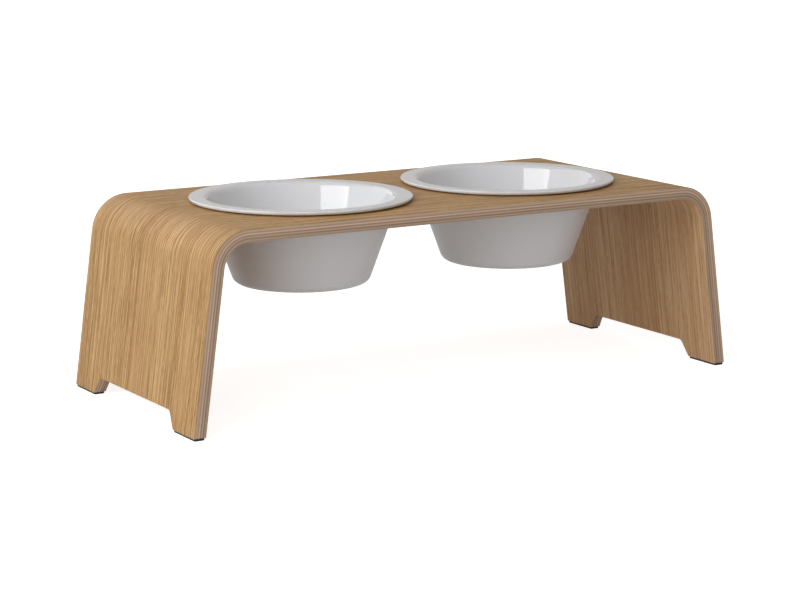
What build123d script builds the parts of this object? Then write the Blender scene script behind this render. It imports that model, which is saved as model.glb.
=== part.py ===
from build123d import *
import math
import os

# A raised feeding bench: one board of bent plywood, pressed from thin veneers, stands on four foot pads
# and carries two porcelain bowls, which hang by their rims in round cut-outs and lift straight out.
# Millimetres. The origin is on the floor under the middle of the bench, +X along it, +Z up.

# Bowls
rim_diameter = 190.0
rim_overhang = 12.4  # rim beyond the bowl's outer wall, at the board's top face
lip_thickness = 3.3
lip_lift = 0.8  # air between the lip's underside and the board
lip_round = 1.5
land_width = 4.0  # flat ring under the rim, which sits on the board beyond the cut-out
land_round = 0.4
bowl_depth = 70.4  # board's top face to the bowl's underside
wall_lean = 19.75  # degrees from upright
wall_thickness = 4.0
floor_thickness = 5.0
base_corner_radius = 8.4
inner_corner_radius = 14.0
inner_lip_radius = 6.0
seat_fillet_radius = 0.9  # between the land and the outer wall
foot_ring_width = 5.0  # unglazed ring that a bowl stands on once it is lifted out
foot_ring_height = 1.2
foot_ring_round = 0.5

# Board
ply_count = 9
ply_thickness = 1.18
board_top = 165.1  # height of the top face above the floor
bend_radius = 33.2  # outer face of the bends
leg_splay = 7.9  # degrees from upright
rim_gap = 20.3  # between the two rims
rim_to_bend = 14.5  # flat board between a rim and the bend beside it
rim_to_edge = 18.5  # board in front of a rim and behind it
cutout_clearance = 1.5  # cut-out radius beyond the bowl's wall
arris_radius = 0.5  # sanded edges of the two show faces

# Feet at the bottom of each leg
foot_width = 38.5
foot_corner_radius = 1.5
notch_height = 14.1
notch_side_run = 9.0  # how far a notch's side leans over its height
notch_radius = 5.0

# Foot pads, each on its own piece of double-sided tape
pad_thickness = 1.6
pad_inset = 0.9  # wood showing all round a pad
pad_corner_radius = 0.8
tape_thickness = 0.15
tape_inset = 0.4  # tape kept back from the pad's edge

# Worked out from the sizes above
board_thickness = ply_count * ply_thickness
board_depth = rim_diameter + 2 * rim_to_edge
bowl_offset = (rim_diameter + rim_gap) / 2
flat_half = bowl_offset + rim_diameter / 2 + rim_to_bend
wall_radius = rim_diameter / 2 - rim_overhang
cutout_radius = wall_radius + cutout_clearance
wood_foot = pad_thickness + tape_thickness
splay = math.radians(leg_splay)
lean = math.radians(wall_lean)
oversize = 10.0  # how far cutting shapes run past what they cut
sides = {"left": -1, "right": 1}
rows = {"front": -1, "rear": 1}


def surface_end(depth, height):
    """Where the surface that lies depth under the board's outer face is at that height on the right leg."""
    bend_x = flat_half + (bend_radius - depth) * math.cos(splay)
    bend_z = board_top - bend_radius + (bend_radius - depth) * math.sin(splay)
    return bend_x + (bend_z - height) * math.tan(splay), height


def half_surface(depth, height):
    """Right half of that surface, seen from the front: the flat top, the bend and the splayed leg."""
    bend_centre = (flat_half, board_top - bend_radius)
    Line((0, board_top - depth), (flat_half, board_top - depth))
    bend = CenterArc(bend_centre, bend_radius - depth, 90, leg_splay - 90)
    Line(bend @ 1, surface_end(depth, height))


def sheet_section(outer, inner, height):
    """Section of the bent sheet between two depths under the outer face, cut off level at a height."""
    with BuildLine() as outline:
        half_surface(outer, height)
        half_surface(inner, height)
        Line(surface_end(outer, height), surface_end(inner, height))
        mirror(outline.line, about=Plane.YZ)
    make_face(outline.line)


# The pressed board, trimmed to its outline: cut-outs, leg notches and sanded edges.
with BuildPart() as board:
    with BuildSketch(Plane.XZ):
        sheet_section(0, board_thickness, wood_foot)
    extrude(amount=board_depth / 2, both=True)

    with Locations(*[(side * bowl_offset, 0, board_top) for side in sides.values()]):
        Hole(radius=cutout_radius)

    notch_foot = board_depth / 2 - foot_width
    notch_top = notch_foot - notch_side_run
    notch_cut = notch_foot + oversize * notch_side_run / notch_height
    with BuildSketch(Plane.YZ) as notch:
        with BuildLine():
            Polyline(
                (notch_top, wood_foot + notch_height),
                (notch_cut, wood_foot - oversize),
                (-notch_cut, wood_foot - oversize),
                (-notch_top, wood_foot + notch_height),
                close=True,
            )
        make_face()
        fillet(notch.vertices().group_by(Axis.Y)[-1], notch_radius)
    extrude(amount=2 * flat_half, both=True, mode=Mode.SUBTRACT)

    foot_corners = board.edges().group_by(Axis.Z)[0].filter_by(Axis.X)
    fillet(foot_corners, foot_corner_radius)

    show_faces = board.faces().filter_by(Axis.Z).sort_by(Axis.Z)[-2:]
    for show_face in show_faces:
        long_edges = show_face.edges().filter_by(Axis.X)
        cutout_edges = show_face.edges().filter_by(GeomType.CIRCLE)
        fillet(long_edges + cutout_edges, arris_radius)

os.makedirs("parts", exist_ok=True)

# The veneers of the board, from the outer face inwards.
for ply in range(ply_count):
    ply_name = f"core_veneer_{ply}"
    ply_outer = ply * ply_thickness
    ply_inner = ply_outer + ply_thickness
    if ply == 0:
        ply_name = "outer_face_veneer"
    if ply == ply_count - 1:
        ply_name = "inner_face_veneer"
    with BuildPart() as veneer:
        with BuildSketch(Plane.XZ):
            sheet_section(ply_outer, ply_inner, wood_foot)
        extrude(amount=board_depth / 2, both=True)
        add(board.part, mode=Mode.INTERSECT)
    veneer.part.label = ply_name
    export_step(veneer.part, f"parts/{ply_name}.step")


def bowl_section():
    """Half section of a bowl: radius outwards, height above the board's top face upwards."""
    inner_wall_radius = wall_radius - wall_thickness / math.cos(lean)
    rim_top = lip_lift + lip_thickness
    inner_floor = floor_thickness - bowl_depth
    inner_floor_radius = inner_wall_radius + inner_floor * math.tan(lean)
    inner_rim_radius = inner_wall_radius + rim_top * math.tan(lean)
    land_outer = cutout_radius + land_width
    base_radius = wall_radius - bowl_depth * math.tan(lean)
    ring_outer = base_radius - base_corner_radius * math.tan(math.pi / 4 - lean / 2)
    ring_inner = ring_outer - foot_ring_width
    foot_recess = foot_ring_height - bowl_depth
    corners = (
        (0, inner_floor),
        (inner_floor_radius, inner_floor),
        (inner_rim_radius, rim_top),
        (rim_diameter / 2, rim_top),
        (rim_diameter / 2, lip_lift),
        (land_outer + lip_lift, lip_lift),
        (land_outer, 0),
        (wall_radius, 0),
        (base_radius, -bowl_depth),
        (ring_inner, -bowl_depth),
        (ring_inner - foot_ring_height, foot_recess),
        (0, foot_recess),
    )
    rounds = [
        inner_corner_radius,
        inner_lip_radius,
        lip_round,
        lip_round,
        land_round,
        land_round,
        seat_fillet_radius,
        base_corner_radius,
        foot_ring_round,
        foot_ring_round,
    ]
    FilletPolyline(*corners, radius=rounds)
    Line(corners[-1], corners[0])


# The bowls, each turned about the upright axis of its cut-out.
for side_name, side in sides.items():
    seat = Plane(origin=(side * bowl_offset, 0, board_top), x_dir=(1, 0, 0), z_dir=(0, -1, 0))
    with BuildPart() as bowl:
        with BuildSketch(seat):
            with BuildLine():
                bowl_section()
            make_face()
        revolve(axis=Axis(seat.origin, (0, 0, 1)))
    bowl.part.label = f"{side_name}_bowl"
    export_step(bowl.part, f"parts/{side_name}_bowl.step")

# Foot pads and their tape, under the middle of each foot.
foot_outer_x = surface_end(0, wood_foot)[0]
foot_inner_x = surface_end(board_thickness, wood_foot)[0]
foot_centre_x = (foot_outer_x + foot_inner_x) / 2
foot_centre_y = (board_depth - foot_width) / 2
pad_length = foot_width - 2 * pad_inset
pad_width = foot_outer_x - foot_inner_x - 2 * pad_inset

for row_name, row in rows.items():
    for side_name, side in sides.items():
        pad_name = f"{row_name}_{side_name}_foot_pad"
        with BuildPart() as pad:
            with BuildSketch():
                with Locations((side * foot_centre_x, row * foot_centre_y)):
                    RectangleRounded(pad_width, pad_length, pad_corner_radius)
            extrude(amount=pad_thickness)
        pad.part.label = pad_name
        export_step(pad.part, f"parts/{pad_name}.step")

with BuildPart() as tape:
    with BuildSketch(Plane.XY.offset(pad_thickness)):
        with GridLocations(2 * foot_centre_x, 2 * foot_centre_y, 2, 2):
            Rectangle(pad_width - 2 * tape_inset, pad_length - 2 * tape_inset)
    extrude(amount=tape_thickness)
tape.part.label = "foot_pad_tape"
export_step(tape.part, "parts/foot_pad_tape.step")
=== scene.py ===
import math

import bmesh
import bpy
from mathutils import Euler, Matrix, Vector


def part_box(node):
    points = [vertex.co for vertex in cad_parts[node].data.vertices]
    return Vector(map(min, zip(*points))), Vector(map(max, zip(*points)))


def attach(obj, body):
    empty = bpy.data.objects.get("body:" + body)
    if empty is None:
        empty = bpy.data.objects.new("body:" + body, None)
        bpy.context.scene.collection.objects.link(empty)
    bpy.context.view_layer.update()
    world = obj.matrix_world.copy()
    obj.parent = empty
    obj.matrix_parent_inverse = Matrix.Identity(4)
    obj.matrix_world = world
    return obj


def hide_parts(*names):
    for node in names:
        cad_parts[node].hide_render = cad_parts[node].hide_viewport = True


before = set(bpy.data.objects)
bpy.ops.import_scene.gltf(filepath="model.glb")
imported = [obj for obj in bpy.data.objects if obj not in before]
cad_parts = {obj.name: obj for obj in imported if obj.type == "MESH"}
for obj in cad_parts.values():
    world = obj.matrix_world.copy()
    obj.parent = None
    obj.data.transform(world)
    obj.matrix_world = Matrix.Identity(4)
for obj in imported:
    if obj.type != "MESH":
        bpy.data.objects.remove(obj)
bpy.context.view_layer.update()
print("frame loaded")


weldDistance = 1e-6

# Node trees, of materials and of geometry, are written as sums on sockets.

class Socket:  # a node's output, on which Python's operators add Math nodes
    def __init__(self, sheet, source):
        self.sheet = sheet
        self.source = source

    def maths(self, operation, *values):
        return self.sheet.node("ShaderNodeMath", {"operation": operation}, dict(enumerate(values)))

    def __add__(self, other):
        return self.maths("ADD", self, other)

    def __radd__(self, other):
        return self.maths("ADD", other, self)

    def __sub__(self, other):
        return self.maths("SUBTRACT", self, other)

    def __rsub__(self, other):
        return self.maths("SUBTRACT", other, self)

    def __mul__(self, other):
        return self.maths("MULTIPLY", self, other)

    def __rmul__(self, other):
        return self.maths("MULTIPLY", other, self)

    def __truediv__(self, other):
        return self.maths("DIVIDE", self, other)

    def __rtruediv__(self, other):
        return self.maths("DIVIDE", other, self)

    def __gt__(self, other):
        return self.maths("GREATER_THAN", self, other)

    def __lt__(self, other):
        return self.maths("LESS_THAN", self, other)

    def __abs__(self):
        return self.maths("ABSOLUTE", self)


class Sheet:  # a node tree being written
    def __init__(self, tree):
        self.tree = tree
        tree.nodes.clear()

    def node(self, kind, settings=None, sockets=None, output=0):
        made = self.tree.nodes.new(kind)
        for name, value in (settings or {}).items():
            if name == "stops":
                self.fillRamp(made.color_ramp, value)
            else:
                setattr(made, name, value)
        for name, value in (sockets or {}).items():
            for item in value if isinstance(value, list) else [value]:
                if isinstance(item, Socket):
                    self.tree.links.new(item.source, made.inputs[name])
                else:
                    made.inputs[name].default_value = item
        return Socket(self, made.outputs[output]) if made.outputs else made

    def fillRamp(self, ramp, stops):
        while len(ramp.elements) < len(stops):
            ramp.elements.new(0.5)
        for element, (position, colour) in zip(ramp.elements, stops):
            element.position = position
            element.color = (*colour, 1.0)

    def step(self, value, low, high):  # 0 below low, 1 above high, smooth between
        settings = {"interpolation_type": "SMOOTHSTEP"}
        return self.node("ShaderNodeMapRange", settings, {0: value, 1: low, 2: high, 3: 0.0, 4: 1.0})

    def clamp(self, value):
        return self.node("ShaderNodeClamp", {}, {0: value, 1: 0.0, 2: 1.0})

    def mix(self, factor, first, second, blend="MIX"):
        settings = {"data_type": "RGBA", "blend_type": blend}
        ends = [(*c, 1.0) if isinstance(c, tuple) else c for c in (first, second)]
        return self.node("ShaderNodeMix", settings, {0: factor, 6: ends[0], 7: ends[1]}, output=2)

    def vector(self, x, y, z):
        return self.node("ShaderNodeCombineXYZ", {}, {0: x, 1: y, 2: z})

    def parts(self, vector):
        return [self.node("ShaderNodeSeparateXYZ", {}, {0: vector}, output=i) for i in range(3)]

    def stretch(self, vector, factors, shift=(0.0, 0.0, 0.0)):
        sockets = {0: vector, 1: factors, 2: shift}
        return self.node("ShaderNodeVectorMath", {"operation": "MULTIPLY_ADD"}, sockets)

    def noise(self, vector, detail=0.0, scale=1.0):
        return self.node("ShaderNodeTexNoise", {}, {"Vector": vector, "Scale": scale, "Detail": detail})

    def place(self):  # metres from the object's origin
        return self.node("ShaderNodeTexCoord", {}, output="Object")

    def grain(self):  # place on the flat board: along the grain, across it and through it
        return self.node("ShaderNodeAttribute", {"attribute_name": "grain"}, output="Vector")

    def shade(self, colour, value):
        return self.mix(1.0, colour, self.vector(value, value, value), "MULTIPLY")

    def bump(self, relief, height):
        strength, distance = relief
        return self.node("ShaderNodeBump", {}, {"Strength": strength, "Distance": distance, "Height": height})


def geometrySheet(name, inputs):  # a geometry tree; returns its sheet and its inputs by name
    tree = bpy.data.node_groups.new(name, "GeometryNodeTree")
    sheet = Sheet(tree)
    for label, kind in {"Geometry": "NodeSocketGeometry", **inputs}.items():
        tree.interface.new_socket(label, in_out="INPUT", socket_type=kind)
    tree.interface.new_socket("Geometry", in_out="OUTPUT", socket_type="NodeSocketGeometry")
    entry = tree.nodes.new("NodeGroupInput")
    return sheet, {label: Socket(sheet, entry.outputs[label]) for label in ("Geometry", *inputs)}


def merged(sheet, geometry):  # joins points that lie together
    return sheet.node("GeometryNodeMergeByDistance", {}, {"Geometry": geometry, "Distance": weldDistance})


def finishTree(sheet, geometry, material):  # every tree ends the same way
    whole = sheet.node("GeometryNodeRealizeInstances", {}, {0: geometry})
    dressed = sheet.node("GeometryNodeSetMaterial", {}, {"Geometry": whole, "Material": material})
    sheet.node("NodeGroupOutput", {}, {0: dressed})


def shaped(name, blank, tree, values):  # runs a tree on a mesh and keeps the result as a plain mesh
    worker = bpy.data.objects.new("worker", blank)
    bpy.context.scene.collection.objects.link(worker)
    modifier = worker.modifiers.new("shape", "NODES")
    modifier.node_group = tree
    for item in tree.interface.items_tree:
        if item.in_out == "INPUT" and item.name in values:
            modifier[item.identifier] = values[item.name]
    worker.update_tag()
    bpy.context.view_layer.update()
    evaluated = worker.evaluated_get(bpy.context.evaluated_depsgraph_get())
    mesh = bpy.data.meshes.new_from_object(evaluated)
    mesh.name = name
    bpy.data.objects.remove(worker)
    piece = bpy.data.objects.new(name, mesh)
    bpy.context.scene.collection.objects.link(piece)
    return piece


def faceOutwards(mesh):
    body = bmesh.new()
    body.from_mesh(mesh)
    bmesh.ops.recalc_face_normals(body, faces=body.faces)
    body.to_mesh(mesh)
    body.free()


def surface(name, finish):  # a material whose Principled node takes what finish(sheet) returns
    material = bpy.data.materials.new(name)
    material.use_nodes = True
    sheet = Sheet(material.node_tree)
    shader = sheet.node("ShaderNodeBsdfPrincipled", {}, finish(sheet))
    sheet.node("ShaderNodeOutputMaterial", {}, {0: shader})
    return material


# Camera

cameraPlace = {
    "eye": (-1.07114, -1.73258, 0.46719),
    "heading": 31.565,  # degrees from +Y towards +X
    "tilt": -11.100,
    "roll": -0.007,
    "lens": 106.461,  # millimetres, as the sensor's width
    "sensor": 36.0,
    "near": 0.05,
    "far": 50.0,
}


def makeCamera():
    data = bpy.data.cameras.new("camera")
    data.lens = cameraPlace["lens"]
    data.sensor_width = cameraPlace["sensor"]
    data.clip_start = cameraPlace["near"]
    data.clip_end = cameraPlace["far"]
    camera = bpy.data.objects.new("camera", data)
    camera.location = cameraPlace["eye"]
    turn = Euler((math.radians(90 + cameraPlace["tilt"]), 0, math.radians(-cameraPlace["heading"])))
    roll = Euler((0, 0, math.radians(cameraPlace["roll"])))
    camera.rotation_euler = (turn.to_matrix() @ roll.to_matrix()).to_euler()
    bpy.context.scene.collection.objects.link(camera)
    bpy.context.scene.camera = camera


makeCamera()
print("camera placed")


# Oak of the two face veneers. Rates are changes per metre, along the grain and across it.

oakLook = {
    "brown": (0.255, 0.119, 0.026),
    "ground": (0.398, 0.223, 0.075),
    "cream": (0.533, 0.333, 0.131),
    "through": 120.0,  # rate through the board
    "starts": {  # where in the noise each figure begins
        "streak": (3.7, 1.9),
        "vein": (5.1, 6.3),
        "veinPatch": (2.3, 8.4),
        "ring": (4.0, 0.0),
        "ringPatch": (9.0, 2.0),
        "blush": (0.0, 7.0),
    },
    "streaks": (  # width across the grain and length along it in metres, share of the tone
        (0.060, 0.90, 0.22),
        (0.018, 0.60, 0.05),
        (0.009, 0.60, 0.05),
        (0.0045, 0.45, 0.16),
        (0.0024, 0.26, 1.30),
        (0.0014, 0.04, 1.40),
        (0.0009, 0.007, 0.80),
    ),
    "veins": (  # dark lines with a light side: spacing and length in metres, share of the tone
        (0.012, 0.80, 0.08),
        (0.0055, 0.50, 0.26),
    ),
    "veinWidth": 0.05,
    "veinLight": 0.6,  # the light side's share of the dark line
    "veinShift": 1.5,  # widths from the dark line to its light side
    "veinPatches": (3.0, 30.0),
    "veinLimits": (0.35, 0.6),
    "innerContrast": 0.5,  # the inner face's grain is plainer
    # painted light: the inner face, in shade under the board, is made lighter and bluer
    "innerPaintedLight": (1.32, 1.41, 2.05),
    "driftRates": (2.2, 7.0, 40.0),
    "waver": 0.006,
    "ringSpacing": 0.0046,
    "ringRates": (0.7, 60.0),
    "ringUneven": 3.0,
    "ringSharpness": 3.0,
    "ringLight": 0.25,
    "ringPatches": (1.4, 45.0),
    "ringLimits": (0.38, 0.68),
    "ringDepth": 0.26,
    "blush": (0.412, 0.212, 0.074),  # redder bands
    "blushRates": (1.1, 38.0),
    "blushLimits": (0.40, 0.75),
    "blushShare": 0.4,
    "poreWidth": 0.0003,
    "poreLength": 0.005,
    "poreLimits": (0.56, 0.70),
    "poreTones": (0.65, 0.35),  # none above the first tone, all below the second
    "poreShare": 0.45,
    "edge": (0.50, 0.36, 0.24),  # the veneer's own cut edge
    "edgeLimits": (0.20, 0.45),  # in plies from a face
    "edgeShade": 0.9,
    "edgeContrast": 0.2,
    "fibreRates": (90.0, 2600.0),
    "roughness": 0.55,
    "fibreRoughness": 0.14,
    "poreRoughness": 0.15,
    "toneSmoothness": 0.12,
    "relief": (0.15, 0.0002),
    "reliefShare": 0.4,
    "sheen": 0.42,
}


def oakFinish(sheet):
    look = oakLook
    grain = sheet.grain()
    drift = sheet.noise(sheet.stretch(grain, look["driftRates"]), detail=1.0)
    shift = sheet.vector(0.0, (drift - 0.5) * look["waver"], 0.0)
    wavy = sheet.node("ShaderNodeVectorMath", {"operation": "ADD"}, {0: grain, 1: shift})

    def figure(rates, through=look["through"], start=(0.0, 0.0), detail=0.0):  # noise along the grain
        return sheet.noise(sheet.stretch(wavy, (*rates, through), (*start, 0.0)), detail)

    tone = 0.5
    starts = look["starts"]
    for index, (width, length, share) in enumerate(look["streaks"]):
        through = max(1 / width, look["through"])
        start = tuple(index * s for s in starts["streak"])
        tone = tone + (figure((1 / length, 1 / width), through, start) - 0.5) * share

    thin = look["veinWidth"]
    for index, (spacing, length, share) in enumerate(look["veins"]):
        start, patchStart = ((index * x, y) for x, y in (starts["vein"], starts["veinPatch"]))
        layer = figure((1 / length, 1 / spacing), start=start)
        strength = sheet.step(figure(look["veinPatches"], start=patchStart), *look["veinLimits"])
        dark = sheet.step(abs(layer - 0.5), thin, 0.0)
        light = sheet.step(abs(layer - 0.5 - look["veinShift"] * thin), thin, 0.0)
        tone = tone + (light * look["veinLight"] - dark) * strength * share

    uneven = figure(look["ringRates"], start=starts["ring"], detail=1.0)
    ring = sheet.parts(wavy)[1] / look["ringSpacing"] + uneven * look["ringUneven"]
    latewood = ring.maths("POWER", 1.0 - ring.maths("FRACT", ring), look["ringSharpness"])
    marked = sheet.step(figure(look["ringPatches"], start=starts["ringPatch"]), *look["ringLimits"])
    tone = tone + (look["ringLight"] - latewood) * marked * look["ringDepth"]
    depth = 0.0 - sheet.parts(grain)[2]
    within = depth > bench["thickness"] / 2
    tone = 0.5 + (tone - 0.5) * (1.0 - within * (1.0 - look["innerContrast"]))
    stops = ((0.0, look["brown"]), (0.5, look["ground"]), (1.0, look["cream"]))
    colour = sheet.node("ShaderNodeValToRGB", {"stops": stops}, {0: tone})
    band = sheet.step(figure(look["blushRates"], start=starts["blush"]), *look["blushLimits"])
    colour = sheet.mix(band * look["blushShare"], colour, look["blush"])

    fine = 1 / look["poreWidth"]
    pores = sheet.step(figure((1 / look["poreLength"], fine), fine), *look["poreLimits"])
    pores = pores * sheet.step(tone, *look["poreTones"])
    colour = sheet.mix(pores * look["poreShare"], colour, look["brown"])

    # painted light: the inner face is made lighter and bluer, standing in for fill light on the shaded
    # underside
    colour = sheet.mix(within, colour, sheet.mix(1.0, colour, look["innerPaintedLight"], "MULTIPLY"))
    nearest = depth.maths("MINIMUM", depth, bench["thickness"] - depth)
    cut = sheet.step(nearest, *(share * bench["ply"] for share in look["edgeLimits"]))
    pale = plyShade(sheet, grain) * (look["edgeShade"] + (tone - 0.5) * look["edgeContrast"])
    colour = sheet.mix(cut, colour, sheet.shade(look["edge"], pale))

    fibre = figure(look["fibreRates"], look["fibreRates"][1], detail=1.0)
    rough = look["roughness"] + (fibre - 0.5) * look["fibreRoughness"] + pores * look["poreRoughness"]
    rough = rough - (tone - 0.5) * look["toneSmoothness"]
    bump = sheet.bump(look["relief"], (tone + fibre) * look["reliefShare"] - pores)
    return {"Base Color": colour, "Roughness": rough, "Normal": bump, "Specular IOR Level": look["sheen"]}


# Birch core, seen along the cut edges

coreLook = {
    "light": (0.545, 0.393, 0.285),
    "dark": (0.395, 0.266, 0.184),
    "lightContrast": 0.35,
    "darkContrast": 0.5,
    "plies": (1.02, 0.95, 1.03, 1.12, 0.86, 0.88, 0.72, 0.79, 0.77),  # each ply's shade, outer to inner
    "streakLength": 0.06,
    "streakWidth": 0.0006,
    "speckRates": (900.0, 900.0, 2500.0),
    "speckContrast": 0.25,
    "roughness": 0.62,
    "speckRoughness": 0.1,
    "relief": (0.2, 0.0003),
    "sheen": 0.3,
}


def plyShade(sheet, grain):  # cut plies are lighter outside the board's middle and darker inside it
    lightest = max(coreLook["plies"])
    through = 0.0 - sheet.parts(grain)[2] / bench["thickness"]
    stops = [(ply / plyCount, (shade / lightest,) * 3) for ply, shade in enumerate(coreLook["plies"])]
    ramp = sheet.node("ShaderNodeValToRGB", {"stops": stops}, {0: through})
    ramp.source.node.color_ramp.interpolation = "CONSTANT"
    return ramp * lightest


def coreFinish(tone, contrast):
    def finish(sheet):
        look = coreLook
        grain = sheet.grain()
        rates = (1 / look["streakLength"], oakLook["through"], 1 / look["streakWidth"])
        streaks = sheet.noise(sheet.stretch(grain, rates), detail=3.0)
        specks = sheet.noise(sheet.stretch(grain, look["speckRates"]), detail=1.0)
        value = 1.0 + (streaks - 0.5) * contrast + (specks - 0.5) * look["speckContrast"]
        return {
            "Base Color": sheet.shade(tone, value * plyShade(sheet, grain)),
            "Roughness": look["roughness"] + (specks - 0.5) * look["speckRoughness"],
            "Normal": sheet.bump(look["relief"], streaks + specks),
            "Specular IOR Level": look["sheen"],
        }
    return finish


# Porcelain, rubber and tape

glazeLook = {
    "glaze": (0.696, 0.695, 0.711),
    "pooled": 0.985,  # share of the glaze's tone where it's thickest
    "bare": (0.70, 0.67, 0.62),
    "bareHeight": 0.0004,  # unglazed up to here on the foot ring
    "roughness": 0.05,
    "outerRoughness": 0.35,
    "innerSkin": (0.002, 0.0035),  # metres in from the outer wall, where the inner surface starts
    "poolScale": 14.0,
    "poolRoughness": 0.02,
    "gritScale": 2500.0,
    "gritRoughness": 0.3,
    "relief": (0.10, 0.002),
    "refraction": 1.5,
}

rubberLook = {
    "dark": (0.012, 0.012, 0.013),
    "light": (0.03, 0.029, 0.03),
    "gritScale": 1800.0,
    "roughness": 0.75,
    "gritRoughness": 0.2,
    "relief": (0.4, 0.0003),
}

tapeLook = {
    "dark": (0.04, 0.04, 0.042),
    "light": (0.07, 0.07, 0.072),
    "wrinkleScale": 400.0,
    "roughness": 0.5,
    "wrinkleRoughness": 0.2,
}


def glazeFinish(sheet):
    look = glazeLook
    place = sheet.place()
    x, y, height = sheet.parts(place)
    foot = bowlLow.z
    glazed = sheet.step(height, foot + look["bareHeight"], foot + 2 * look["bareHeight"])
    middle = sheet.vector(abs(x) - bench["bowlCentre"], y, 0.0)
    radius = sheet.node("ShaderNodeVectorMath", {"operation": "LENGTH"}, {0: middle}, output="Value")
    wall = bowl["wallRadius"] + (height - bench["boardTop"]) * math.tan(bowl["lean"])
    inside = sheet.step(wall - radius, *look["innerSkin"]) * (height > foot + bowl["floor"] / 2)
    outside = (1.0 - inside) * (height < bench["boardTop"])
    pool = sheet.noise(place, 2.0, look["poolScale"])
    grit = sheet.noise(place, 1.0, look["gritScale"])
    tint = sheet.mix(pool, tuple(look["pooled"] * c for c in look["glaze"]), look["glaze"])
    rough = look["roughness"] + outside * (look["outerRoughness"] - look["roughness"])
    rough = rough + (pool - 0.5) * look["poolRoughness"]
    rough = rough + (1.0 - glazed) * (0.5 + grit) * look["gritRoughness"]
    return {
        "Base Color": sheet.mix(glazed, look["bare"], tint),
        "Roughness": rough,
        "Normal": sheet.bump(look["relief"], pool),
        "IOR": look["refraction"],
    }


def rubberFinish(sheet):
    look = rubberLook
    grit = sheet.noise(sheet.place(), 2.0, look["gritScale"])
    return {
        "Base Color": sheet.mix(grit, look["dark"], look["light"]),
        "Roughness": look["roughness"] + (grit - 0.5) * look["gritRoughness"],
        "Normal": sheet.bump(look["relief"], grit),
    }


def tapeFinish(sheet):
    look = tapeLook
    wrinkle = sheet.noise(sheet.place(), 2.0, look["wrinkleScale"])
    return {
        "Base Color": sheet.mix(wrinkle, look["dark"], look["light"]),
        "Roughness": look["roughness"] + (wrinkle - 0.5) * look["wrinkleRoughness"],
    }


# Bench: nine veneers, each pressed from the same flat board

outerLow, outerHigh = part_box("outer_face_veneer")
plyCount = sum("veneer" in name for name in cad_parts)

bench = {
    "boardTop": outerHigh.z,
    "footHeight": outerLow.z,
    "depth": outerHigh.y - outerLow.y,
    "ply": outerHigh.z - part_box("core_veneer_1")[1].z,
    "bendRadius": 0.0332,
    "splay": math.radians(7.9),
    "cutoutRadius": 0.0841,
    "bowlCentre": (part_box("right_bowl")[0].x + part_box("right_bowl")[1].x) / 2,
    "footWidth": 0.0385,
    "notchHeight": 0.0141,
    "notchSideRun": 0.009,
    "notchRadius": 0.005,
    "footCorner": 0.0015,
    "arris": 0.0005,
    "arrisSteps": 3,
    "arrisFold": 1.0,  # radians between faces, above which a shown edge takes the arris
    "sharpFold": 0.6,
    "sameDepth": 1e-5,
    "footTop": 0.018,  # height on a leg down to which its faces run straight across
    "margin": 0.001,  # strip of faces along the cut edges, wider than the arris
}
bench["thickness"] = plyCount * bench["ply"]
bench["middle"] = bench["bendRadius"] - bench["thickness"] / 2  # the middle layer's radius at a bend
bench["bendAngle"] = math.pi / 2 - bench["splay"]
bench["bendDrop"] = bench["bendRadius"] - bench["middle"] * math.sin(bench["splay"])
bench["legRise"] = bench["boardTop"] - bench["bendDrop"] - bench["footHeight"]  # of a leg's middle layer
bench["outerRise"] = (
    bench["boardTop"] - bench["bendRadius"] * (1 - math.sin(bench["splay"])) - bench["footHeight"]
)
bench["flatHalf"] = (
    outerHigh.x
    - bench["bendRadius"] * math.cos(bench["splay"])
    - bench["outerRise"] * math.tan(bench["splay"])
)
bench["bendLength"] = bench["middle"] * bench["bendAngle"]
bench["legLength"] = bench["legRise"] / math.cos(bench["splay"])

oak = surface("oak", oakFinish)
lightCore = surface("lightCore", coreFinish(coreLook["light"], coreLook["lightContrast"]))
darkCore = surface("darkCore", coreFinish(coreLook["dark"], coreLook["darkContrast"]))

benchDivisions = {"across": 42, "flat": 40, "bend": 28, "leg": 8, "notch": 22, "side": 3, "curve": 8}


def spread(low, high, steps):  # evenly spaced numbers, both ends included
    return [low + (high - low) * i / steps for i in range(steps + 1)]


def grid(rows, points, faces):  # joins rows of equally many points into quads
    start = len(points)
    width = len(rows[0])
    for row in rows:
        points.extend(row)
    for r in range(len(rows) - 1):
        for c in range(width - 1):
            first = start + r * width + c
            faces.append((first, first + 1, first + width + 1, first + width))


def footLine():  # half a leg's lower outline, from its notch outwards: places and inward directions
    n = benchDivisions
    lean = math.atan2(bench["notchSideRun"], bench["notchHeight"])
    top = bench["notchHeight"]
    arc = bench["notchRadius"]
    corner = bench["footCorner"]
    outer = bench["depth"] / 2
    inner = outer - bench["footWidth"]
    arcStart = inner - bench["notchSideRun"] - arc * math.tan(math.pi / 4 - lean / 2)
    cornerStart = inner + corner * math.tan(math.pi / 4 - lean / 2)

    line = [((y, top), (0.0, 1.0)) for y in spread(0.0, arcStart, n["notch"] // 2)[:-1]]
    for a in spread(0.0, math.pi / 2 - lean, n["curve"]):
        out = (math.sin(a), math.cos(a))
        line.append(((arcStart + arc * out[0], top - arc * (1 - out[1])), out))
    sideTop = line[-1][0]
    sideFoot = (cornerStart - corner * math.cos(lean), corner * (1 - math.sin(lean)))
    for share in spread(0.0, 1.0, n["side"])[1:-1]:
        place = tuple(t + (f - t) * share for t, f in zip(sideTop, sideFoot))
        line.append((place, (math.cos(lean), math.sin(lean))))
    for a in spread(lean, math.pi / 2, n["curve"]):
        out = (math.cos(a), math.sin(a))
        line.append(((cornerStart - corner * out[0], corner * (1 - out[1])), out))
    line += [((y, 0.0), (0.0, 1.0)) for y in spread(cornerStart, outer - corner, n["notch"] // 2)[1:-1]]
    for a in spread(0.0, math.pi / 2, n["curve"]):
        out = (-math.sin(a), math.cos(a))
        line.append(((outer - corner - corner * out[0], corner * (1 - out[1])), out))
    line += [((outer, h), (-1.0, 0.0)) for h in spread(corner, bench["footTop"], n["side"])[1:]]
    return line


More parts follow.
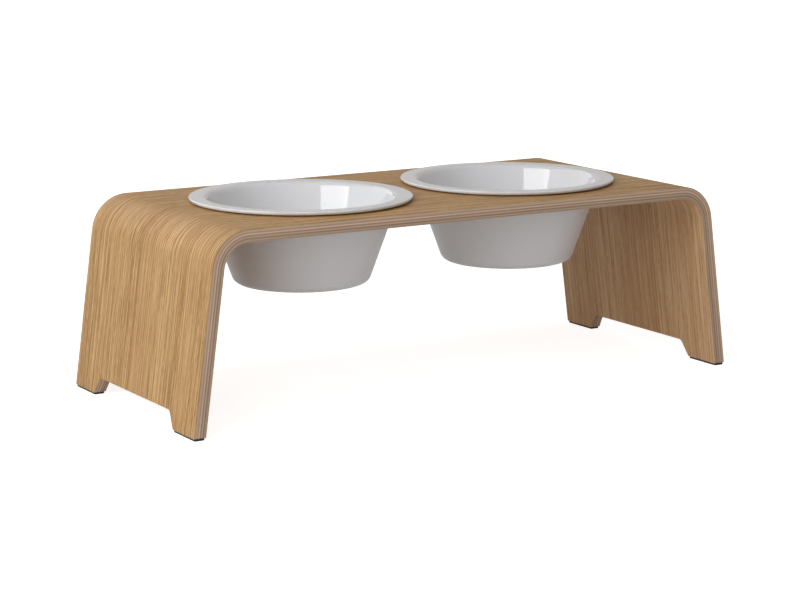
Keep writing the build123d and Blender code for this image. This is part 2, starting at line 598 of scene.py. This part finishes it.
def flatBoard():  # the board before it is bent: x along the grain, y across
    n = benchDivisions
    points = []
    faces = []
    outerEdge = bench["depth"] / 2
    margin = bench["margin"]
    across = [-outerEdge] + spread(margin - outerEdge, outerEdge - margin, n["across"]) + [outerEdge]
    bendEnd = bench["flatHalf"] + bench["bendLength"]

    def station(height):  # how far along the flat board a height on the leg lies
        return bendEnd + (1 - height / bench["legRise"]) * bench["legLength"]

    half = footLine()
    line = [((-y, h), (-dy, dh)) for (y, h), (dy, dh) in reversed(half[1:])] + half
    for side in (-1, 1):
        centre = side * bench["bowlCentre"]
        far = side * bench["flatHalf"]
        along = spread(0.0, far, n["flat"])
        rim = [(far, y) for y in across] + [(x, outerEdge) for x in reversed(along)][1:]
        rim += [(0.0, y) for y in reversed(across)][1:] + [(x, -outerEdge) for x in along][1:]
        hole = []
        for x, y in rim:
            reach = math.hypot(x - centre, y)
            share = bench["cutoutRadius"] / reach
            hole.append((centre + (x - centre) * share, y * share, 0.0))
        grid([hole, [(x, y, 0.0) for x, y in rim]], points, faces)

        stations = spread(bench["flatHalf"], bendEnd, n["bend"])
        stations += spread(bendEnd, station(bench["footTop"]), n["leg"])[1:]
        grid([[(side * s, y, 0.0) for y in across] for s in stations], points, faces)

        cut = [(side * station(h), y, 0.0) for (y, h), out in line]
        inset = [(side * station(h + dh * margin), y + dy * margin, 0.0) for (y, h), (dy, dh) in line]
        grid([cut, inset], points, faces)
        start = len(points)
        points.extend(inset + [(side * station(bench["footTop"]), y, 0.0) for y in reversed(across[2:-2])])
        faces.append(tuple(range(start, len(points))))

    mesh = bpy.data.meshes.new("flatBoard")
    mesh.from_pydata(points, [], faces)
    for face in mesh.polygons:
        if face.normal.z < 0:
            face.flip()
    return mesh


def pressTree():  # presses the flat board into one bent veneer between two depths
    names = ("Outer Depth", "Inner Depth", "Show Depth", "Board Top", "Foot Height", "Flat Half",
             "Bend Radius", "Bend Angle", "Bend Length", "Leg Length", "Splay")
    inputs = {name: "NodeSocketFloat" for name in names}
    sheet, entry = geometrySheet("pressVeneer", {**inputs, "Material": "NodeSocketMaterial"})

    whole = merged(sheet, entry["Geometry"])
    down = sheet.vector(0.0, 0.0, 0.0 - entry["Inner Depth"])
    under = sheet.node("GeometryNodeSetPosition", {}, {"Geometry": whole, "Offset": down})
    rise = sheet.vector(0.0, 0.0, entry["Inner Depth"] - entry["Outer Depth"])
    lifted = sheet.node(
        "GeometryNodeExtrudeMesh", {"mode": "FACES"}, {"Mesh": under, "Offset": rise, "Individual": False})
    back = sheet.node("GeometryNodeFlipFaces", {}, {0: under})
    joined = sheet.node("GeometryNodeJoinGeometry", {}, {0: [back, lifted]})
    slab = merged(sheet, joined)

    place = sheet.node("GeometryNodeInputPosition")
    store = {"data_type": "FLOAT_VECTOR", "domain": "POINT"}
    slab = sheet.node("GeometryNodeStoreNamedAttribute", store, {0: slab, "Name": "grain", "Value": place})

    x, y, z = sheet.parts(place)
    side = x.maths("SIGN", x)
    reach = abs(x)
    flat = reach.maths("MINIMUM", reach, entry["Flat Half"])
    turn = sheet.clamp((reach - entry["Flat Half"]) / entry["Bend Length"]) * entry["Bend Angle"]
    slide = (reach - entry["Flat Half"] - entry["Bend Length"]) / entry["Leg Length"]
    slide = slide.maths("MAXIMUM", slide, 0.0)
    radius = entry["Bend Radius"] + z
    bendX = flat + radius * turn.maths("SINE", turn)
    bendZ = entry["Board Top"] - entry["Bend Radius"] + radius * turn.maths("COSINE", turn)
    fall = slide * (bendZ - entry["Foot Height"])
    slope = entry["Splay"].maths("TANGENT", entry["Splay"])
    bent = sheet.vector(side * (bendX + fall * slope), y, bendZ - fall)
    pressed = sheet.node("GeometryNodeSetPosition", {}, {"Geometry": slab, "Position": bent})

    fold = sheet.node("GeometryNodeInputMeshEdgeAngle")
    named = sheet.node("GeometryNodeInputNamedAttribute", {"data_type": "FLOAT_VECTOR"}, {"Name": "grain"})
    depth = 0.0 - sheet.parts(named)[2]
    shown = (fold > bench["arrisFold"]) * (abs(depth - entry["Show Depth"]) < bench["sameDepth"])
    sharp = (fold > bench["sharpFold"]) * (1.0 - shown)
    store = {"data_type": "FLOAT", "domain": "EDGE"}
    pressed = sheet.node(
        "GeometryNodeStoreNamedAttribute", store, {0: pressed, "Name": "bevel_weight_edge", "Value": shown})
    store = {"data_type": "BOOLEAN", "domain": "EDGE"}
    pressed = sheet.node(
        "GeometryNodeStoreNamedAttribute", store, {0: pressed, "Name": "sharp_edge", "Value": sharp})
    finishTree(sheet, pressed, entry["Material"])
    return sheet.tree


def makeVeneers():
    blank = flatBoard()
    tree = pressTree()
    for index in range(plyCount):
        node = f"core_veneer_{index}"
        show = -1.0
        material, slot = (lightCore, "light_core") if index % 2 else (darkCore, "dark_core")
        outer = index * bench["ply"]
        inner = outer + bench["ply"]
        if index == 0:
            node, show, material, slot = "outer_face_veneer", outer, oak, "oak_face"
        if index == plyCount - 1:
            node, show, material, slot = "inner_face_veneer", inner, oak, "oak_face"
        values = {
            "Outer Depth": outer,
            "Inner Depth": inner,
            "Show Depth": show,
            "Board Top": bench["boardTop"],
            "Foot Height": bench["footHeight"],
            "Flat Half": bench["flatHalf"],
            "Bend Radius": bench["bendRadius"],
            "Bend Angle": bench["bendAngle"],
            "Bend Length": bench["bendLength"],
            "Leg Length": bench["legLength"],
            "Splay": bench["splay"],
            "Material": material,
        }
        piece = shaped("pressed_" + node, blank, tree, values)
        piece.data.shade_smooth()
        if show >= 0:
            bevel = piece.modifiers.new("arris", "BEVEL")
            bevel.limit_method = "WEIGHT"
            bevel.width = bench["arris"]
            bevel.segments = bench["arrisSteps"]
            bevel.harden_normals = True
            bevel.use_clamp_overlap = False
            bevel.loop_slide = False
        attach(piece, "bench")
        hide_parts(node)


makeVeneers()
print("veneers pressed")


# Bowls, each turned from one half section

bowlLow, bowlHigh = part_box("right_bowl")
bowl = {
    "rimRadius": (bowlHigh.y - bowlLow.y) / 2,
    "rimTop": bowlHigh.z - bench["boardTop"],
    "bottom": bowlLow.z - bench["boardTop"],
    "lipThickness": 0.0029,
    "lipRound": 0.0010,
    "lipUnderRound": 0.0012,
    "lipLean": math.radians(26),  # the lip's edge leans in towards its underside
    "landWidth": 0.004,
    "landRound": 0.0004,
    "wallRadius": 0.0826,
    "lean": math.radians(19.75),
    "wall": 0.004,
    "floor": 0.005,
    "baseCorner": 0.0084,
    "innerCorner": 0.014,
    "innerLip": 0.006,
    "seatFillet": 0.0009,
    "ringWidth": 0.005,
    "ringHeight": 0.0012,
    "ringRound": 0.0005,
    "longRun": 0.02,  # straight runs above this length take supports near their ends
    "wideCorner": 0.01,
    "wideSupport": 0.012,
    "narrowSupport": 0.008,
    "turns": 192,
    "arcSteps": 10,
    "wheel": 0.05,  # radius of the circle that carries the section round, of any size
}

glaze = surface("glaze", glazeFinish)


def bowlSection():  # corners of the half section with their radii, and supports along the straight runs
    slope = math.tan(bowl["lean"])
    innerWall = bowl["wallRadius"] - bowl["wall"] / math.cos(bowl["lean"])
    lipUnder = bowl["rimTop"] - bowl["lipThickness"]
    lipBulge = bowl["lipRound"] * ((1 + math.sin(bowl["lipLean"])) / math.cos(bowl["lipLean"]) - 1)
    lipEdge = bowl["rimRadius"] + lipBulge  # rounded, it reaches out to the rim's radius
    lipFoot = lipEdge - bowl["lipThickness"] * math.tan(bowl["lipLean"])
    innerFloor = bowl["bottom"] + bowl["floor"]
    landOuter = bench["cutoutRadius"] + bowl["landWidth"]
    baseRadius = bowl["wallRadius"] + bowl["bottom"] * slope
    ringOuter = baseRadius - bowl["baseCorner"] * math.tan(math.pi / 4 - bowl["lean"] / 2)
    ringInner = ringOuter - bowl["ringWidth"]
    recess = bowl["bottom"] + bowl["ringHeight"]
    corners = (
        (0.0, innerFloor, 0.0),
        (innerWall + innerFloor * slope, innerFloor, bowl["innerCorner"]),
        (innerWall + bowl["rimTop"] * slope, bowl["rimTop"], bowl["innerLip"]),
        (lipEdge, bowl["rimTop"], bowl["lipRound"]),
        (lipFoot, lipUnder, bowl["lipUnderRound"]),
        (landOuter + lipUnder, lipUnder, bowl["landRound"]),
        (landOuter, 0.0, bowl["landRound"]),
        (bowl["wallRadius"], 0.0, bowl["seatFillet"]),
        (baseRadius, bowl["bottom"], bowl["baseCorner"]),
        (ringInner, bowl["bottom"], bowl["ringRound"]),
        (ringInner - bowl["ringHeight"], recess, bowl["ringRound"]),
        (0.0, recess, 0.0),
    )
    section = [corners[0]]
    for (r0, z0, f0), (r1, z1, f1) in zip(corners, corners[1:]):
        run = math.hypot(r1 - r0, z1 - z0)
        if run > bowl["longRun"]:
            wide = max(f0, f1) > bowl["wideCorner"]
            keep = bowl["wideSupport"] if wide else bowl["narrowSupport"]
            for share in (keep / run, 1 - keep / run):
                section.append((r0 + (r1 - r0) * share, z0 + (z1 - z0) * share, 0.0))
        section.append((r1, z1, f1))
    mesh = bpy.data.meshes.new("bowlSection")
    edges = [(i, i + 1) for i in range(len(section) - 1)]
    mesh.from_pydata([(r, z, 0.0) for r, z, f in section], edges, [])
    corner = mesh.attributes.new("corner", "FLOAT", "POINT")
    corner.data.foreach_set("value", [f for r, z, f in section])
    return mesh


def turnTree():  # turns a half section about an upright axis into one closed skin
    inputs = {
        "Centre": "NodeSocketVector",
        "Turns": "NodeSocketInt",
        "Arc Steps": "NodeSocketInt",
        "Wheel": "NodeSocketFloat",
        "Material": "NodeSocketMaterial",
    }
    sheet, entry = geometrySheet("turnBowl", inputs)
    line = sheet.node("GeometryNodeMeshToCurve", {}, {0: entry["Geometry"]})
    corner = sheet.node("GeometryNodeInputNamedAttribute", {"data_type": "FLOAT"}, {"Name": "corner"})
    rounded = sheet.node(
        "GeometryNodeFilletCurve", {"mode": "POLY"},
        {"Curve": line, "Count": entry["Arc Steps"], "Radius": corner})
    out, up, _ = sheet.parts(sheet.node("GeometryNodeInputPosition"))
    place = sheet.vector(out - entry["Wheel"], 0.0 - up, 0.0)
    section = sheet.node("GeometryNodeSetPosition", {}, {"Geometry": rounded, "Position": place})
    wheel = sheet.node(
        "GeometryNodeCurvePrimitiveCircle", {"mode": "RADIUS"},
        {"Resolution": entry["Turns"], "Radius": entry["Wheel"]})
    skin = sheet.node("GeometryNodeCurveToMesh", {}, {"Curve": wheel, "Profile Curve": section})
    skin = merged(sheet, skin)
    skin = sheet.node("GeometryNodeSetPosition", {}, {"Geometry": skin, "Offset": entry["Centre"]})
    finishTree(sheet, skin, entry["Material"])
    return sheet.tree


def makeBowls():
    section = bowlSection()
    tree = turnTree()
    for side, name in ((-1, "left_bowl"), (1, "right_bowl")):
        values = {
            "Centre": (side * bench["bowlCentre"], 0.0, bench["boardTop"]),
            "Turns": bowl["turns"],
            "Arc Steps": bowl["arcSteps"],
            "Wheel": bowl["wheel"],
            "Material": glaze,
        }
        piece = shaped("turned_" + name, section, tree, values)
        faceOutwards(piece.data)
        piece.data.shade_smooth()
        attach(piece, name)
        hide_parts(name)


makeBowls()
print("bowls turned")


# Foot pads, and the tape over them

pad = {"corner": 0.0008, "cornerSteps": 5, "edge": 0.00025, "edgeSteps": 2, "edgeFold": math.radians(40)}

rubber = surface("rubber", rubberFinish)
tape = surface("tape", tapeFinish)


def padTree():  # a low block with rounded corners, standing on the floor
    inputs = {
        "Centre": "NodeSocketVector",
        "Width": "NodeSocketFloat",
        "Length": "NodeSocketFloat",
        "Height": "NodeSocketFloat",
        "Corner": "NodeSocketFloat",
        "Corner Steps": "NodeSocketInt",
        "Material": "NodeSocketMaterial",
    }
    sheet, entry = geometrySheet("cutPad", inputs)
    outline = sheet.node(
        "GeometryNodeCurvePrimitiveQuadrilateral", {"mode": "RECTANGLE"},
        {"Width": entry["Width"], "Height": entry["Length"]})
    outline = sheet.node(
        "GeometryNodeFilletCurve", {"mode": "POLY"},
        {"Curve": outline, "Count": entry["Corner Steps"], "Radius": entry["Corner"]})
    outline = sheet.node("GeometryNodeSetPosition", {}, {"Geometry": outline, "Offset": entry["Centre"]})
    flat = sheet.node("GeometryNodeFillCurve", {"mode": "NGONS"}, {0: outline})
    rise = sheet.vector(0.0, 0.0, entry["Height"])
    raised = sheet.node(
        "GeometryNodeExtrudeMesh", {"mode": "FACES"}, {"Mesh": flat, "Offset": rise, "Individual": False})
    under = sheet.node("GeometryNodeFlipFaces", {}, {0: flat})
    joined = sheet.node("GeometryNodeJoinGeometry", {}, {0: [under, raised]})
    finishTree(sheet, merged(sheet, joined), entry["Material"])
    return sheet.tree


def makePads():
    tree = padTree()
    nothing = bpy.data.meshes.new("nothing")
    for name in [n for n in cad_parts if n.endswith("_foot_pad")]:
        low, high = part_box(name)
        values = {
            "Centre": ((low.x + high.x) / 2, (low.y + high.y) / 2, low.z),
            "Width": high.x - low.x,
            "Length": high.y - low.y,
            "Height": high.z - low.z,
            "Corner": pad["corner"],
            "Corner Steps": pad["cornerSteps"],
            "Material": rubber,
        }
        piece = shaped("cut_" + name, nothing, tree, values)
        piece.data.shade_smooth()
        bevel = piece.modifiers.new("edge", "BEVEL")
        bevel.limit_method = "ANGLE"
        bevel.angle_limit = pad["edgeFold"]
        bevel.width = pad["edge"]
        bevel.segments = pad["edgeSteps"]
        bevel.harden_normals = True
        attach(piece, "bench")
        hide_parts(name)
    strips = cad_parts["foot_pad_tape"]
    strips.data.materials.clear()
    strips.data.materials.append(tape)


makePads()
print("pads cut")


# Floor, background and lamps

stageLook = {
    "reach": 6.0,  # metres from the middle to the floor's edges
    "floor": (0.80, 0.80, 0.80),
    "mottle": 0.99,
    "mottleScale": 30.0,
    "roughness": 0.9,
    "lift": 0.76,  # white that the eye and reflections see in the floor beside its own light
    "fadeFrom": 0.45,  # metres from the middle, from where the floor turns to plain white
    "fadeTo": 1.20,
    "ambient": 0.30,
    "ambientColour": (1.045, 1.0, 0.955),
    "mirrored": 0.46,  # share of the white background that reflections show
    "aim": (0.0, 0.0, 0.09),  # what every lamp points at
}

lamps = {
    "window": {"towards": (-0.85, -0.17, 0.50), "distance": 1.7, "size": (1.05, 1.39), "power": 16.2,
               "colour": (0.96, 1.0, 1.04), "unseen": ("glossy",)},
    "side": {"towards": (-0.49, -0.69, 0.53), "distance": 2.8, "size": (1.52, 2.56), "power": 15.6,
             "colour": (1.02, 1.0, 0.98), "unseen": ("glossy",)},
    "back": {"towards": (-0.55, 0.65, 0.52), "distance": 3.5, "size": (2.3, 2.3), "power": 5.0,
             "colour": (1.0, 1.0, 1.0), "unseen": ("glossy",)},
    "front": {"towards": (0.60, -0.77, 0.22), "distance": 1.8, "size": (1.0, 1.0), "power": 1.6,
              "colour": (1.0, 1.0, 1.0), "unseen": ("glossy",)},
    "low": {"towards": (-0.45, -0.87, 0.20), "distance": 2.6, "size": (1.6, 0.8), "power": 1.7,
            "colour": (1.0, 1.0, 1.0), "unseen": ("glossy",)},
    "glint": {"towards": (-0.89, -0.17, 0.43), "distance": 2.8, "size": (1.73, 2.29), "power": 73.0,
              "colour": (1.0, 1.0, 1.0), "unseen": ("diffuse",)},
    "sky": {"towards": (-0.52, 0.65, 0.48), "distance": 3.4, "size": (6.5, 2.4), "power": 62.0,
            "colour": (1.0, 1.0, 1.0), "unseen": ("diffuse",)},
}


def seenRays(sheet):  # 1 for the camera's eye and through glass, a share in reflections, otherwise 0
    kinds = ("Camera", "Glossy", "Transmission")
    eye, gloss, glass = (sheet.node("ShaderNodeLightPath", output=f"Is {kind} Ray") for kind in kinds)
    return sheet.clamp(eye + gloss * stageLook["mirrored"] + glass)


def floorFinish(sheet):
    look = stageLook
    place = sheet.place()
    mottle = sheet.noise(place, 2.0, look["mottleScale"])
    reach = sheet.node("ShaderNodeVectorMath", {"operation": "LENGTH"}, {0: place}, output="Value")
    far = sheet.step(reach, look["fadeFrom"], look["fadeTo"])
    glow = seenRays(sheet) * (look["lift"] + far * (1.0 - look["lift"]))
    return {
        "Base Color": sheet.mix(mottle, tuple(look["mottle"] * c for c in look["floor"]), look["floor"]),
        "Roughness": look["roughness"],
        "Specular IOR Level": 0.0,
        "Emission Color": sheet.mix(glow, (0.0, 0.0, 0.0), (1.0, 1.0, 1.0)),
        "Emission Strength": 1.0,
    }


def makeStage():
    mesh = bpy.data.meshes.new("floor")
    reach = stageLook["reach"]
    corners = ((-reach, -reach), (reach, -reach), (reach, reach), (-reach, reach))
    mesh.from_pydata([(x, y, 0.0) for x, y in corners], [], [(0, 1, 2, 3)])
    mesh.materials.append(surface("floorPaint", floorFinish))
    floor = bpy.data.objects.new("floor", mesh)
    bpy.context.scene.collection.objects.link(floor)

    world = bpy.data.worlds.new("studio")
    bpy.context.scene.world = world
    world.use_nodes = True
    sheet = Sheet(world.node_tree)
    seen = seenRays(sheet)
    strength = stageLook["ambient"] + seen * (1.0 - stageLook["ambient"])
    colour = sheet.mix(seen, stageLook["ambientColour"], (1.0, 1.0, 1.0))
    light = sheet.node("ShaderNodeBackground", {}, {"Color": colour, "Strength": strength})
    sheet.node("ShaderNodeOutputWorld", {}, {0: light})


def makeLamps():
    aim = Vector(stageLook["aim"])
    for name, lamp in lamps.items():
        data = bpy.data.lights.new(name, "AREA")
        data.shape = "RECTANGLE"
        data.size, data.size_y = lamp["size"]
        data.energy = lamp["power"]
        data.color = lamp["colour"]
        light = bpy.data.objects.new(name, data)
        for rays in lamp["unseen"]:
            setattr(light, "visible_" + rays, False)
        towards = Vector(lamp["towards"]).normalized()
        light.location = aim + towards * lamp["distance"]
        light.rotation_euler = towards.to_track_quat("Z", "Y").to_euler()
        bpy.context.scene.collection.objects.link(light)


makeStage()
makeLamps()
bpy.context.scene.view_settings.view_transform = "Standard"
print("stage lit")
